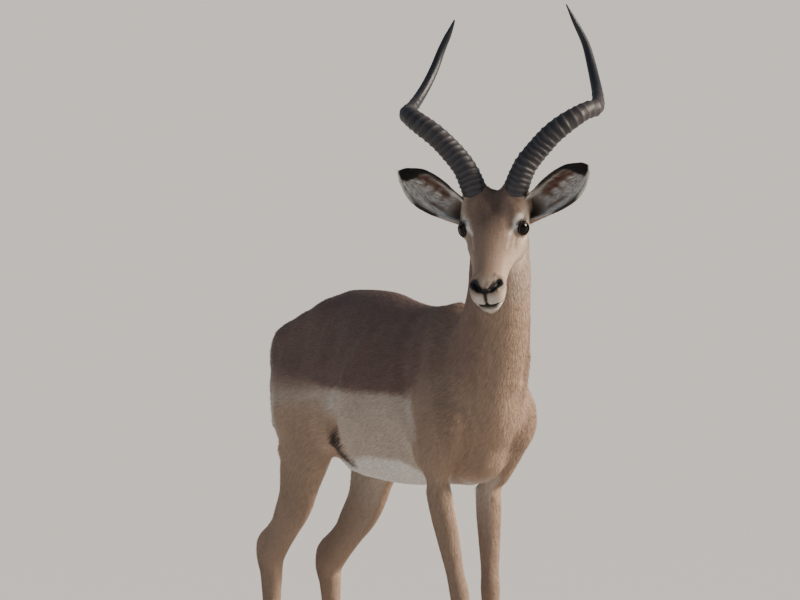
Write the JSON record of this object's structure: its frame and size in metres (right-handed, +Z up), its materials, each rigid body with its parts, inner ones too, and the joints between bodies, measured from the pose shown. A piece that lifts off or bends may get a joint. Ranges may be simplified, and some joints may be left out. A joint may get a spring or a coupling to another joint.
{
  "type": "impala antelope model",
  "caption": "Life-size standing ram with lyre-shaped ridged horns, its head turned to its right, on four cloven hooves.",
  "frame": {"origin": "on the floor, under the middle of the whole model's box", "axes": "+Z up; the body faces -Y; its right side is -X"},
  "size_m": [0.4166, 1.1252, 1.4754],
  "materials": {
    "trunk": "short dense coat over flesh",
    "neck": "short dense coat over flesh",
    "head": "very short coat over flesh",
    "tail": "long hair",
    "forearm_left": "very short coat",
    "fore_cannon_left": "very short coat",
    "fore_pastern_left": "very short coat",
    "hind_cannon_left": "very short coat",
    "hind_pastern_left": "very short coat",
    "gaskin_left": "short coat",
    "ear_left": "short coat",
    "eye_left": "glossy",
    "horn_left": "ridged horn, satin",
    "forearm_right": "very short coat",
    "fore_cannon_right": "very short coat",
    "fore_pastern_right": "very short coat",
    "hind_cannon_right": "very short coat",
    "hind_pastern_right": "very short coat",
    "gaskin_right": "short coat",
    "ear_right": "short coat",
    "eye_right": "glossy",
    "horn_right": "ridged horn, satin",
    "hoof_fore_left_outer": "polished hoof",
    "hoof_fore_left_inner": "polished hoof",
    "hoof_fore_right_outer": "polished hoof",
    "hoof_fore_right_inner": "polished hoof",
    "hoof_hind_left_outer": "polished hoof",
    "hoof_hind_left_inner": "polished hoof",
    "hoof_hind_right_outer": "polished hoof",
    "hoof_hind_right_inner": "polished hoof"
  },
  "bodies": {
    "root": {"trunk": "trunk", "neck": "neck", "head": "head", "tail": "tail", "forearm_left": "forearm_left", "fore_cannon_left": "fore_cannon_left", "fore_pastern_left": "fore_pastern_left", "hind_cannon_left": "hind_cannon_left", "hind_pastern_left": "hind_pastern_left", "gaskin_left": "gaskin_left", "ear_left": "ear_left", "eye_left": "eye_left", "horn_left": "horn_left", "forearm_right": "forearm_right", "fore_cannon_right": "fore_cannon_right", "fore_pastern_right": "fore_pastern_right", "hind_cannon_right": "hind_cannon_right", "hind_pastern_right": "hind_pastern_right", "gaskin_right": "gaskin_right", "ear_right": "ear_right", "eye_right": "eye_right", "horn_right": "horn_right", "hoof_fore_left_outer": "hoof_fore_left_outer", "hoof_fore_left_inner": "hoof_fore_left_inner", "hoof_fore_right_outer": "hoof_fore_right_outer", "hoof_fore_right_inner": "hoof_fore_right_inner", "hoof_hind_left_outer": "hoof_hind_left_outer", "hoof_hind_left_inner": "hoof_hind_left_inner", "hoof_hind_right_outer": "hoof_hind_right_outer", "hoof_hind_right_inner": "hoof_hind_right_inner"}
  },
  "joints": []
}
